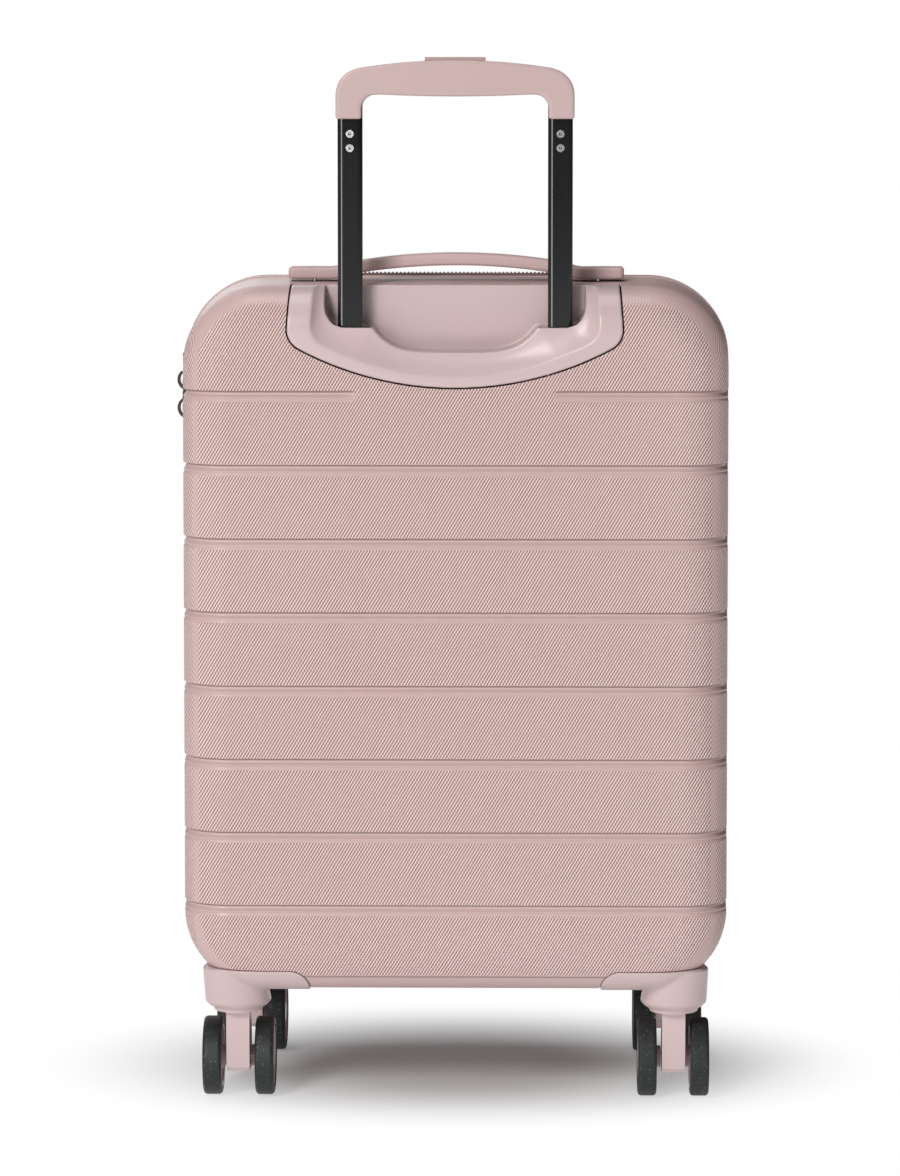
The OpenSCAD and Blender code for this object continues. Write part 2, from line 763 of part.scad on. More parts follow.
module tyre(sx) {
    r = 2.4;
    color([0.17, 0.18, 0.18]) translate([0, trail, wheel_r]) rotate([0, sx * 90, 0])
        translate([0, 0, hub_in]) rotate_extrude($fn = 128) {
            translate([hub_r, 0]) square([wheel_r - hub_r - r, wheel_w]);
            translate([hub_r, r]) square([wheel_r - hub_r, wheel_w - 2 * r]);
            for (z = [r, wheel_w - r]) translate([wheel_r - r, z]) circle(r, $fn = 32);
        }
}

// ---------------------------------------------------------------- nodes

back_shell();
to_back() zip_tape();  // back_zip_tape
handle_cup();
outer_tubes();
tube_foot_blocks();
mirror([1, 0, 0]) wheel_housing();  // housing_back_left
wheel_housing();  // housing_back_right
back_lining();
packing_straps();
lock_case();
back_screws();
carry_band_ends();
for (i = [0:2]) lock_dial(i);
lock_button();
zip_slider(slider_up_z);  // zip_slider_upper
zip_slider(slider_low_z);  // zip_slider_lower
zip_pull(slider_up_z, -1);  // zip_pull_upper
zip_pull(slider_low_z, 1);  // zip_pull_lower
carry_band_centre();
middle_tubes();
middle_guides();
inner_tubes();
inner_guides();
grip();
tube_rivets();
release_button();
push_rods();
front_shell();
to_front() zip_tape();  // front_zip_tape
mirror([1, 0, 0]) mirror([0, 1, 0]) wheel_housing();  // housing_front_left
mirror([0, 1, 0]) wheel_housing();  // housing_front_right
front_lining();
front_screws();
divider_panel();
for (row = ["back", "front"], side = ["left", "right"]) {
    place = str(row, "_", side);
    sx = side == "left" ? -1 : 1;
    sy = row == "back" ? -1 : 1;
    at_caster(sx, sy) fork();
    at_caster(sx, sy) caster_pins();
    for (which = ["outer", "inner"]) {
        facing = which == "outer" ? sx : -sx;
        at_caster(sx, sy) hub(facing);
        at_caster(sx, sy) tyre(facing);
    }
}
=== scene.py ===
# Hard shell cabin suitcase on four twin-wheel casters, seen from its trolley side.
import math

import bpy
import numpy as np
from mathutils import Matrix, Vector


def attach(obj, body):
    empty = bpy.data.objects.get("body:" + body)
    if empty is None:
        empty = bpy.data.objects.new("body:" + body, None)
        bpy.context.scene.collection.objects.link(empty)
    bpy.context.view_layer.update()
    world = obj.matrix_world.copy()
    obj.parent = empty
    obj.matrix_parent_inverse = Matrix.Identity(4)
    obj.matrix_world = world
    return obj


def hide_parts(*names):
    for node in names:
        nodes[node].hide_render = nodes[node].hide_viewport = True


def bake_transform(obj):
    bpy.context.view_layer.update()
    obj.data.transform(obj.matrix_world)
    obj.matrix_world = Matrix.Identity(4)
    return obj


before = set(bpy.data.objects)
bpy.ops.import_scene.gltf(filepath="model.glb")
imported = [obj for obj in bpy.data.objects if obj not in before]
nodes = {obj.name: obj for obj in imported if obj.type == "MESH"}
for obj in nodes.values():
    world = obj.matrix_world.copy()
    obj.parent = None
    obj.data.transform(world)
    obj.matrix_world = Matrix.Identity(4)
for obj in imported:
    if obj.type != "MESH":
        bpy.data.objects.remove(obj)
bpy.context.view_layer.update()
mm = 0.001
scene = bpy.context.scene


# Selecting and modelling helpers

def leaveEdit():
    if bpy.context.object and bpy.context.object.mode != "OBJECT":
        bpy.ops.object.mode_set(mode="OBJECT")


def clearSelection():
    leaveEdit()
    bpy.ops.object.select_all(action="DESELECT")


def activate(piece):
    clearSelection()
    piece.select_set(True)
    bpy.context.view_layer.objects.active = piece


def selectAll(piece, kind="VERT"):
    activate(piece)
    bpy.ops.object.mode_set(mode="EDIT")
    bpy.ops.mesh.select_mode(type=kind)
    bpy.ops.mesh.select_all(action="SELECT")


def selectPart(piece, kind, test):
    # test gets a place and a direction: the edge's own, or the normal of a vertex or face
    activate(piece)
    bpy.ops.object.mode_set(mode="EDIT")
    bpy.ops.mesh.select_mode(type=kind)
    bpy.ops.mesh.select_all(action="DESELECT")
    bpy.ops.object.mode_set(mode="OBJECT")
    mesh = piece.data
    if kind == "VERT":
        for v in mesh.vertices:
            v.select = test(v.co, v.normal)
    elif kind == "EDGE":
        for e in mesh.edges:
            a, b = (mesh.vertices[i].co for i in e.vertices)
            e.select = test((a + b) / 2, (b - a).normalized())
    else:
        for f in mesh.polygons:
            f.select = test(f.center, f.normal)
    bpy.ops.object.mode_set(mode="EDIT")


def rename(piece, name):
    piece.name = name
    piece.data.name = name
    return piece


def addBox(name, low, high):
    clearSelection()
    middle = [(a + b) / 2 for a, b in zip(low, high)]
    size = [b - a for a, b in zip(low, high)]
    bpy.ops.mesh.primitive_cube_add(size=1, location=middle, scale=size)
    bpy.ops.object.transform_apply(location=True, rotation=False, scale=True)
    return rename(bpy.context.object, name)


def drawPrism(name, points, low, high, upright=True):
    # One vertex is drawn along the outline, closed with a face and pushed out.
    # An upright outline holds X and Z and runs along Y; a lying one holds X and Y and runs along Z.
    clearSelection()
    corners = [Vector((p[0], low, p[1])) if upright else Vector((p[0], p[1], low)) for p in points]
    bpy.ops.mesh.primitive_plane_add(size=0.001, location=corners[0])
    bpy.ops.object.transform_apply(location=True, rotation=False, scale=False)
    piece = rename(bpy.context.object, name)
    selectAll(piece)
    bpy.ops.mesh.merge(type="CENTER")
    for a, b in zip(corners, corners[1:]):
        bpy.ops.mesh.extrude_vertices_move(TRANSFORM_OT_translate={"value": b - a})
    bpy.ops.mesh.select_all(action="SELECT")
    bpy.ops.mesh.edge_face_add()
    push = (0, high - low, 0) if upright else (0, 0, high - low)
    bpy.ops.mesh.extrude_region_move(TRANSFORM_OT_translate={"value": push})
    fixNormals(piece)
    return piece


def rollSheet(name, rings, closed=True, caps=True):
    # A grid is laid along the rings, one row to a ring, and its seam and ends are closed
    clearSelection()
    around = len(rings[0])
    columns = around + 1 if closed else around
    bpy.ops.mesh.primitive_grid_add(x_subdivisions=columns - 1, y_subdivisions=len(rings) - 1, size=1)
    piece = rename(bpy.context.object, name)
    places = []
    for ring in rings:
        row = list(ring) + ([ring[0]] if closed else [])
        places += [c for p in row for c in p]
    piece.data.vertices.foreach_set("co", places)
    piece.data.update()
    if closed:
        selectAll(piece)
        bpy.ops.mesh.remove_doubles(threshold=0.01 * mm)
        if caps:
            bpy.ops.mesh.select_all(action="DESELECT")
            bpy.ops.mesh.select_non_manifold()
            bpy.ops.mesh.edge_face_add()
        fixNormals(piece)
    leaveEdit()
    return piece


def fixNormals(piece, merge=True):
    selectAll(piece)
    if merge:
        bpy.ops.mesh.remove_doubles(threshold=0.005 * mm)
    bpy.ops.mesh.normals_make_consistent(inside=False)
    leaveEdit()


def applyModifier(piece, kind, **settings):
    activate(piece)
    modifier = piece.modifiers.new(kind.title(), kind)
    for key, value in settings.items():
        setattr(modifier, key, value)
    bpy.ops.object.modifier_apply(modifier=modifier.name)


def carve(piece, tool, how="DIFFERENCE"):
    applyModifier(piece, "BOOLEAN", object=tool, operation=how, solver="MANIFOLD")
    bpy.data.objects.remove(tool)


def cutAcross(piece, places, axis):
    # Cuts new edges right round the piece at each place along an axis, 0 for X to 2 for Z
    selectAll(piece)
    normal = [float(i == axis) for i in range(3)]
    for place in places:
        point = [place if i == axis else 0 for i in range(3)]
        bpy.ops.mesh.select_all(action="SELECT")
        bpy.ops.mesh.bisect(plane_co=point, plane_no=normal, threshold=0.001 * mm)
    leaveEdit()


def smooth(piece, degrees=35, weighted=False):
    activate(piece)
    bpy.ops.object.shade_smooth_by_angle(angle=math.radians(degrees))
    if weighted:
        applyModifier(piece, "WEIGHTED_NORMAL", mode="FACE_AREA", weight=80, keep_sharp=True)


def copyNode(node, name):
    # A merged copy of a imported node, free to be reshaped
    source = nodes[node]
    piece = bpy.data.objects.new(name, source.data.copy())
    scene.collection.objects.link(piece)
    rename(piece, name)
    piece.data.materials.clear()
    fixNormals(piece)
    return piece


def soften(piece, voxel, rounds=6, factor=0.5):
    # A fine remesh, then a few rounds of smoothing, gives the soft edges of a moulding
    applyModifier(piece, "REMESH", mode="VOXEL", voxel_size=voxel, adaptivity=0)
    applyModifier(piece, "SMOOTH", factor=factor, iterations=rounds)
    smooth(piece, 60)


def finish(piece, body, slot, material, *replaced):
    clearSelection()
    piece.data.materials.clear()
    piece.data.materials.append(material)
    if body:
        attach(piece, body)
    if replaced:
        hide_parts(*replaced)
    return piece


def smoothStep(value, low, high):
    t = min(max((value - low) / (high - low), 0), 1)
    return t * t * (3 - 2 * t)


def arcPoints(centre, radius, start, end, count):
    angles = [math.radians(start + (end - start) * i / count) for i in range(count + 1)]
    return [(centre[0] + radius * math.cos(a), centre[1] + radius * math.sin(a)) for a in angles]


# Finishes

def linear(red, green, blue):
    # 8-bit screen values to the linear ones that sockets take
    steps = [v / 255 for v in (red, green, blue)]
    return [v / 12.92 if v < 0.04045 else ((v + 0.055) / 1.055) ** 2.4 for v in steps] + [1]


def plug(tree, value, socket):
    if isinstance(value, bpy.types.NodeSocket):
        tree.links.new(value, socket)
    else:
        socket.default_value = value


def maths(tree, operation, a, b=0.0, c=0.0):
    node = tree.nodes.new("ShaderNodeMath")
    node.operation = operation
    for value, socket in zip((a, b, c), node.inputs):
        plug(tree, value, socket)
    return node.outputs[0]


def ranged(tree, value, low, high, newLow=0.0, newHigh=1.0):
    node = tree.nodes.new("ShaderNodeMapRange")
    node.interpolation_type = "SMOOTHSTEP"
    for item, socket in zip((value, low, high, newLow, newHigh), node.inputs):
        plug(tree, item, socket)
    return node.outputs[0]


def noise(tree, vector, scale, detail=3.0, rough=0.5):
    node = tree.nodes.new("ShaderNodeTexNoise")
    tree.links.new(vector, node.inputs["Vector"])
    for name, value in (("Scale", scale), ("Detail", detail), ("Roughness", rough)):
        plug(tree, value, node.inputs[name])
    return node.outputs["Fac"]


def blendColour(tree, factor, first, second, way="MIX"):
    node = tree.nodes.new("ShaderNodeMix")
    node.data_type = "RGBA"
    node.blend_type = way
    plug(tree, factor, node.inputs["Factor"])
    for value, name in ((first, "A"), (second, "B")):
        socket = [s for s in node.inputs if s.name == name and s.type == "RGBA"][0]
        plug(tree, value, socket)
    return [s for s in node.outputs if s.type == "RGBA"][0]


def splitVector(tree, vector):
    node = tree.nodes.new("ShaderNodeSeparateXYZ")
    tree.links.new(vector, node.inputs[0])
    return list(node.outputs)


def startGroup(name, inputs, outputs):
    tree = bpy.data.node_groups.new(name, "ShaderNodeTree")
    for label, kind, value in inputs:
        socket = tree.interface.new_socket(label, in_out="INPUT", socket_type="NodeSocket" + kind)
        if value is not None:
            socket.default_value = value
    for label, kind in outputs:
        tree.interface.new_socket(label, in_out="OUTPUT", socket_type="NodeSocket" + kind)
    entry = tree.nodes.new("NodeGroupInput")
    leave = tree.nodes.new("NodeGroupOutput")
    return tree, entry.outputs, leave.inputs


def buildTwill():
    # Two sets of fine moulded lines that cross as diamonds and follow the nearest flat side
    tree, given, out = startGroup(
        "twillRelief",
        [("Place", "Vector", None), ("Facing", "Vector", None), ("Pitch", "Float", 0.002),
         ("Slant", "Float", 0.60), ("First groove", "Float", 0.1334), ("Spacing", "Float", 0.0472)],
        [("Height", "Float"), ("Shade", "Float"), ("Shown", "Float"), ("Seam", "Float")])
    x, y, z = splitVector(tree, given["Place"])
    nx, ny, nz = [maths(tree, "ABSOLUTE", n) for n in splitVector(tree, given["Facing"])]
    onSide = maths(tree, "GREATER_THAN", nx, ny)
    onTop = maths(tree, "GREATER_THAN", nz, maths(tree, "MAXIMUM", nx, ny))
    along = maths(tree, "ADD", maths(tree, "MULTIPLY", y, onSide),
                  maths(tree, "MULTIPLY", x, maths(tree, "SUBTRACT", 1.0, onSide)))
    up = maths(tree, "ADD", maths(tree, "MULTIPLY", y, onTop),
               maths(tree, "MULTIPLY", z, maths(tree, "SUBTRACT", 1.0, onTop)))
    along = maths(tree, "ADD", maths(tree, "MULTIPLY", x, onTop),
                  maths(tree, "MULTIPLY", along, maths(tree, "SUBTRACT", 1.0, onTop)))
    rise = maths(tree, "MULTIPLY", up, given["Slant"])
    turn = maths(tree, "DIVIDE", 2 * math.pi, given["Pitch"])
    waves = [maths(tree, "COSINE", maths(tree, "MULTIPLY", maths(tree, way, along, rise), turn))
             for way in ("ADD", "SUBTRACT")]
    strong, faint = maths(tree, "MULTIPLY", waves[1], 0.7), maths(tree, "MULTIPLY", waves[0], 0.3)
    both = maths(tree, "ADD", strong, faint)
    # Height over the nearest groove; the lines stop there, and its upper wall gets a dark line of painted
    # shade
    over = maths(tree, "WRAP", maths(tree, "SUBTRACT", z, given["First groove"]), 0.03)
    over.node.inputs[2].default_value = -0.0172
    rib = maths(tree, "GREATER_THAN", maths(tree, "ABSOLUTE", y), 0.0124)
    # The top groove of the trolley half stops short of the recess
    partial = maths(tree, "MULTIPLY", maths(tree, "GREATER_THAN", z, 0.45),
                    maths(tree, "LESS_THAN", y, 0.0))
    partial = maths(tree, "MULTIPLY", partial,
                    ranged(tree, maths(tree, "ABSOLUTE", x), 0.0615, 0.067, 1.0, 0.0))
    rib = maths(tree, "MULTIPLY", rib, maths(tree, "SUBTRACT", 1.0, partial))
    rib = maths(tree, "MULTIPLY", rib, maths(tree, "LESS_THAN", z, 0.48))
    fromMiddle = maths(tree, "ABSOLUTE", maths(tree, "ADD", over, 0.0031))
    band = ranged(tree, fromMiddle, 0.0034, 0.0041, 1.0, 0.0)
    # Mask of each groove's upper wall, where painted shade darkens the colour
    fromWall = maths(tree, "ABSOLUTE", maths(tree, "ADD", over, 0.0001))
    wall = ranged(tree, fromWall, 0.0003, 0.0010, 1.0, 0.0)
    tree.links.new(maths(tree, "MULTIPLY", wall, rib), out["Seam"])
    top = maths(tree, "MAXIMUM", maths(tree, "MAXIMUM", nx, ny), nz)
    shown = maths(tree, "MULTIPLY", ranged(tree, top, 0.72, 0.80),
                  ranged(tree, nz, 0.5, 0.75, 1.0, 0.25))
    plain = maths(tree, "SUBTRACT", 1.0, maths(tree, "MULTIPLY", band, rib))
    shown = maths(tree, "MULTIPLY", shown, plain)
    tree.links.new(shown, out["Shown"])
    height = maths(tree, "MULTIPLY", both, shown)
    tree.links.new(height, out["Height"])
    # The Shade output carries the same relief, for painted shade along the lines
    tree.links.new(height, out["Shade"])
    return tree


def buildGrain():
    # Moulded plastic: a fine grain, a slow waviness and faint handling marks
    tree, given, out = startGroup(
        "mouldedGrain",
        [("Place", "Vector", None), ("Grain", "Float", 2600.0), ("Waves", "Float", 9.0)],
        [("Height", "Float"), ("Polish", "Float"), ("Tone", "Float"), ("Scuffs", "Float")])
    fine = noise(tree, given["Place"], given["Grain"], 2.0)
    slow = noise(tree, given["Place"], given["Waves"], 3.0, 0.55)
    tree.links.new(maths(tree, "ADD", fine, maths(tree, "MULTIPLY", slow, 0.35)), out["Height"])
    tree.links.new(ranged(tree, slow, 0.3, 0.7), out["Polish"])
    tree.links.new(ranged(tree, noise(tree, given["Place"], 2.6, 2.0), 0.3, 0.7), out["Tone"])
    stretch = tree.nodes.new("ShaderNodeVectorMath")
    stretch.operation = "MULTIPLY"
    stretch.inputs[1].default_value = (30, 30, 420)
    tree.links.new(given["Place"], stretch.inputs[0])
    lines = noise(tree, stretch.outputs[0], 1.0, 4.0, 0.7)
    tree.links.new(ranged(tree, lines, 0.66, 0.76), out["Scuffs"])
    return tree


def buildWeave():
    # Plain weave: threads that run by X and by Y pass over and under each other
    tree, given, out = startGroup(
        "plainWeave",
        [("Place", "Vector", None), ("Threads", "Float", 900.0)],
        [("Height", "Float"), ("Tone", "Float")])
    u, v = splitVector(tree, given["Place"])[:2]
    scaled = [maths(tree, "MULTIPLY", s, given["Threads"]) for s in (u, v)]
    waves = [maths(tree, "SINE", maths(tree, "MULTIPLY", s, math.pi)) for s in scaled]
    cross = maths(tree, "MULTIPLY", waves[0], waves[1])
    warp = maths(tree, "ABSOLUTE", waves[0])
    weft = maths(tree, "ABSOLUTE", waves[1])
    over = maths(tree, "GREATER_THAN", cross, 0.0)
    height = maths(tree, "ADD", maths(tree, "MULTIPLY", warp, over),
                   maths(tree, "MULTIPLY", weft, maths(tree, "SUBTRACT", 1.0, over)))
    tree.links.new(height, out["Height"])
    tree.links.new(noise(tree, given["Place"], maths(tree, "MULTIPLY", given["Threads"], 0.21), 3.0),
                   out["Tone"])
    return tree


def buildStreaks():
    # Drawn or brushed metal: long streaks one way
    tree, given, out = startGroup(
        "drawnMetal",
        [("Place", "Vector", None), ("Along", "Vector", (1, 1, 0.02)), ("Fineness", "Float", 3000.0)],
        [("Height", "Float"), ("Polish", "Float")])
    stretch = tree.nodes.new("ShaderNodeVectorMath")
    stretch.operation = "MULTIPLY"
    tree.links.new(given["Place"], stretch.inputs[0])
    tree.links.new(given["Along"], stretch.inputs[1])
    lines = noise(tree, stretch.outputs[0], given["Fineness"], 3.0, 0.6)
    tree.links.new(lines, out["Height"])
    cloudy = maths(tree, "MULTIPLY", noise(tree, given["Place"], 25.0, 2.0), 0.4)
    tree.links.new(maths(tree, "ADD", maths(tree, "MULTIPLY", lines, 0.6), cloudy), out["Polish"])
    return tree


groups = {
    "twill": buildTwill(),
    "grain": buildGrain(),
    "weave": buildWeave(),
    "streaks": buildStreaks(),
}


class Finish:
    # A material with its Principled shader, place coordinates and short ways to wire them
    def __init__(self, name, **plain):
        self.material = bpy.data.materials.new(name)
        self.material.use_nodes = True
        self.tree = self.material.node_tree
        self.shader = self.tree.nodes["Principled BSDF"]
        self.coords = self.tree.nodes.new("ShaderNodeTexCoord")
        self.place = self.coords.outputs["Object"]
        for key, value in plain.items():
            self.shader.inputs[key.replace("_", " ")].default_value = value

    def group(self, name, **values):
        node = self.tree.nodes.new("ShaderNodeGroup")
        node.node_tree = groups[name]
        for key, value in values.items():
            plug(self.tree, value, node.inputs[key])
        return node.outputs

    def bump(self, height, distance, strength=1.0, under=None):
        node = self.tree.nodes.new("ShaderNodeBump")
        node.inputs["Distance"].default_value = distance
        node.inputs["Strength"].default_value = strength
        self.tree.links.new(height, node.inputs["Height"])
        if under:
            self.tree.links.new(under, node.inputs["Normal"])
        self.tree.links.new(node.outputs[0], self.shader.inputs["Normal"])
        return node.outputs[0]

    def set(self, socket, value):
        self.tree.links.new(value, self.shader.inputs[socket])


def mouldedPlastic(name, base, dark, rough=(0.32, 0.42), grain=2600.0, depth=0.00003, shine=0.45):
    look = Finish(name, Specular_IOR_Level=shine)
    marks = look.group("grain", Place=look.place, Grain=grain)
    tint = blendColour(look.tree, marks["Tone"], dark, base)
    tint = blendColour(look.tree, maths(look.tree, "MULTIPLY", marks["Scuffs"], 0.10), tint,
                       [min(c * 1.25 + 0.02, 1) for c in base[:3]] + [1])
    look.set("Base Color", tint)
    look.set("Roughness", ranged(look.tree, marks["Polish"], 0.0, 1.0, rough[0], rough[1]))
    look.bump(marks["Height"], depth, 0.6)
    return look.material


shellLook = {
    "colour": (225, 194, 190),
    "shade": (219, 187, 183),
    "paintedShade": 0.68,        # how much painted shade darkens the lines between the diamonds
    "relief": 0.00042,
    "pitch": 0.0020,
}


def texturedShell():
    look = Finish("twillShell", Specular_IOR_Level=0.4)
    tree = look.tree
    relief = look.group("twill", Place=look.place, Facing=look.coords.outputs["Normal"],
                        Pitch=shellLook["pitch"], Slant=0.60)
    marks = look.group("grain", Place=look.place, Grain=1800.0)
    tint = blendColour(tree, marks["Tone"], linear(*shellLook["shade"]), linear(*shellLook["colour"]))
    # Painted shade: the colour is darkened along the twill's lines, and a little where the twill fades out,
    # on top of the bump
    paintedShade = ranged(tree, relief["Shade"], -0.8, 0.8, 1 - shellLook["paintedShade"], 1.15)
    paintedShade = maths(tree, "MULTIPLY", paintedShade, ranged(tree, relief["Shown"], 0.0, 1.0, 0.93, 1.0))
    # Painted shade: a dark line along each groove's upper wall
    paintedShade = maths(tree, "MULTIPLY", paintedShade, ranged(tree, relief["Seam"], 0.0, 1.0, 1.0, 0.55))
    grey = tree.nodes.new("ShaderNodeCombineColor")
    for i in range(3):
        tree.links.new(paintedShade, grey.inputs[i])
    tint = blendColour(tree, 1.0, tint, grey.outputs[0], "MULTIPLY")
    look.set("Base Color", tint)
    look.set("Roughness", ranged(tree, marks["Polish"], 0.0, 1.0, 0.34, 0.44))
    under = look.bump(marks["Height"], 0.00002, 0.5)
    look.bump(relief["Height"], shellLook["relief"], 0.9, under)
    return look.material


def wovenCloth(name, base, dark, threads=900.0, depth=0.00012):
    look = Finish(name, Roughness=0.85, Specular_IOR_Level=0.2, Sheen_Weight=0.25, Sheen_Roughness=0.5)
    weave = look.group("weave", Place=look.place, Threads=threads)
    shade = blendColour(look.tree, weave["Tone"], dark, base)
    # Painted shade: the dips between the threads are darkened in the colour, as well as bumped
    groove = blendColour(look.tree, ranged(look.tree, weave["Height"], 0.15, 0.75), dark, shade)
    look.set("Base Color", groove)
    look.bump(weave["Height"], depth, 0.8)
    return look.material


def metal(name, base, rough=(0.2, 0.35), along=(1, 1, 0.02), fineness=3000.0, depth=0.00001):
    look = Finish(name, Metallic=1.0)
    streaks = look.group("streaks", Place=look.place, Along=along, Fineness=fineness)
    shade = [c * 0.8 for c in base[:3]] + [1]
    look.set("Base Color", blendColour(look.tree, streaks["Polish"], shade, base))
    look.set("Roughness", ranged(look.tree, streaks["Polish"], 0.2, 0.8, rough[0], rough[1]))
    look.bump(streaks["Height"], depth, 0.5)
    return look.material


def fleckedRubber():
    look = Finish("fleckedRubber", Specular_IOR_Level=0.35)
    tree = look.tree
    marks = look.group("grain", Place=look.place, Grain=1500.0)
    cells = tree.nodes.new("ShaderNodeTexVoronoi")
    cells.inputs["Scale"].default_value = 620.0
    tree.links.new(look.place, cells.inputs["Vector"])
    speck = ranged(tree, cells.outputs["Distance"], 0.10, 0.16, 1.0, 0.0)
    some = maths(tree, "GREATER_THAN", noise(tree, look.place, 300.0, 1.0), 0.48)
    speck = maths(tree, "MULTIPLY", speck, some)
    tint = blendColour(tree, marks["Tone"], linear(27, 29, 29), linear(36, 39, 39))
    fleck = maths(tree, "MULTIPLY", speck, 0.6)
    look.set("Base Color", blendColour(tree, fleck, tint, linear(190, 190, 188)))
    look.set("Roughness", ranged(tree, marks["Polish"], 0.0, 1.0, 0.5, 0.65))
    look.bump(marks["Height"], 0.00006, 0.6)
    return look.material


pinkBase = linear(191, 171, 170)
pinkShade = linear(185, 164, 163)
finishes = {
    "shell": texturedShell(),
    "trim": mouldedPlastic("satinMoulding", pinkBase, pinkShade, (0.30, 0.38)),
    "grip": mouldedPlastic("gripMoulding", linear(181, 156, 154), linear(175, 150, 148), (0.34, 0.44)),
    "band": mouldedPlastic("softBand", linear(189, 164, 162), linear(182, 156, 154), (0.48, 0.6),
                           900.0, 0.00006),
    "black": mouldedPlastic("blackMoulding", linear(34, 35, 36), linear(26, 27, 28), (0.34, 0.5)),
    "dial": mouldedPlastic("dialMoulding", linear(58, 59, 61), linear(48, 49, 51), (0.3, 0.42)),
    "tube": mouldedPlastic("glossTube", linear(20, 22, 23), linear(15, 16, 17), (0.09, 0.14), 1200.0,
                           0.000006, 0.5),
    "rod": metal("drawnSteel", linear(190, 192, 196), (0.22, 0.38)),
    "steel": metal("brightSteel", linear(214, 214, 216), (0.14, 0.3), (1, 1, 1), 900.0),
    "zipMetal": metal("blackNickel", linear(52, 52, 55), (0.18, 0.32), (1, 1, 1), 700.0),
    "rubber": fleckedRubber(),
    "tape": wovenCloth("zipTape", linear(128, 100, 97), linear(92, 70, 68), 1400.0),
    "coil": mouldedPlastic("zipCoil", linear(98, 78, 76), linear(74, 58, 56), (0.25, 0.35)),
    "lining": wovenCloth("liningCloth", linear(140, 128, 130), linear(104, 94, 96), 1100.0),
    "webbing": wovenCloth("webbing", linear(60, 58, 60), linear(30, 29, 31), 700.0, 0.0002),
}
print("finishes built")


# Camera, lights and floor

def buildStudio():
    cameraData = bpy.data.cameras.new("camera")
    cameraData.lens = 143.8
    cameraData.sensor_width = 36
    cameraData.shift_x = -0.0044
    cameraData.shift_y = -0.13
    camera = bpy.data.objects.new("camera", cameraData)
    camera.location = (0.05, -3.097, 0.65)
    camera.rotation_euler = (math.radians(90 - 4.10), 0, math.radians(0.955))
    scene.collection.objects.link(camera)
    scene.camera = camera

    for name, place, aim, size, power in (
        ("keyLight", (-1.9, -4.25, 3.0), (0, 0, 0.45), (1.3, 1.3), 168),
        ("fillLight", (-1.5, -4.4, 0.4), (0, 0, 0.4), (1.6, 1.0), 42),
        ("lowLight", (-0.3, -1.15, 0.13), (0, 0, 0.2), (1.2, 0.14), 2.2),
        ("topLight", (-0.3, 0.0, 2.6), (0, 0, 0.3), (1.4, 1.2), 20),
        ("backLight", (-0.9, 2.6, 1.4), (0, 0, 0.3), (1.6, 1.4), 12),
    ):
        data = bpy.data.lights.new(name, "AREA")
        data.shape = "RECTANGLE"
        data.size, data.size_y = size
        data.energy = power
        light = bpy.data.objects.new(name, data)
        light.location = place
        light.visible_camera = False
        light.rotation_euler = (Vector(aim) - Vector(place)).to_track_quat("-Z", "Y").to_euler()
        scene.collection.objects.link(light)

    world = bpy.data.worlds.new("studio")
    world.use_nodes = True
    scene.world = world
    tree = world.node_tree
    sky = tree.nodes["Background"]
    direction = splitVector(tree, tree.nodes.new("ShaderNodeTexCoord").outputs["Generated"])
    side = ranged(tree, direction[0], -0.9, 0.9, 0.0, 1.0)
    tint = blendColour(tree, side, (0.28, 0.285, 0.29, 1), (0.03, 0.03, 0.032, 1))
    tree.links.new(tint, sky.inputs["Color"])
    sky.inputs["Strength"].default_value = 0.5
    white = tree.nodes.new("ShaderNodeBackground")
    white.inputs["Color"].default_value = (1, 1, 1, 1)
    white.inputs["Strength"].default_value = 1.0
    rays = tree.nodes.new("ShaderNodeLightPath")
    mix = tree.nodes.new("ShaderNodeMixShader")
    tree.links.new(rays.outputs["Is Camera Ray"], mix.inputs[0])
    tree.links.new(sky.outputs[0], mix.inputs[1])
    tree.links.new(white.outputs[0], mix.inputs[2])
    tree.links.new(mix.outputs[0], tree.nodes["World Output"].inputs["Surface"])
    scene.view_settings.view_transform = "Standard"

    # The floor is a darker diffuse surface near the case and glows plain white away from it: a painted glow,
    # and painted shadow round the case on top of the real shadows
    clearSelection()
    bpy.ops.mesh.primitive_plane_add(size=30, location=(0, 0, 0))
    floor = rename(bpy.context.object, "floor")
    look = Finish("paleFloor", Roughness=0.7, Specular_IOR_Level=0.2)
    look.shader.inputs["Base Color"].default_value = (0.62, 0.62, 0.625, 1)
    x, y, z = splitVector(look.tree, look.place)
    y = maths(look.tree, "SUBTRACT", y, 0.04)
    wide = maths(look.tree, "MULTIPLY", maths(look.tree, "MULTIPLY", x, x), 0.55)
    away = maths(look.tree, "SQRT", maths(look.tree, "ADD", wide, maths(look.tree, "MULTIPLY", y, y)))
    paintedGlow = look.tree.nodes.new("ShaderNodeEmission")
    paintedGlow.inputs["Color"].default_value = (1, 1, 1, 1)
    mixer = look.tree.nodes.new("ShaderNodeMixShader")
    # Painted shadow and glow: the mix turns from the darker diffuse floor near the case to white emission
    # away from it
    look.tree.links.new(ranged(look.tree, away, 0.05, 0.22), mixer.inputs[0])
    look.tree.links.new(look.shader.outputs[0], mixer.inputs[1])
    look.tree.links.new(paintedGlow.outputs[0], mixer.inputs[2])
    look.tree.links.new(mixer.outputs[0], look.tree.nodes["Material Output"].inputs["Surface"])
    floor.data.materials.append(look.material)


buildStudio()
print("studio built")


# Shells

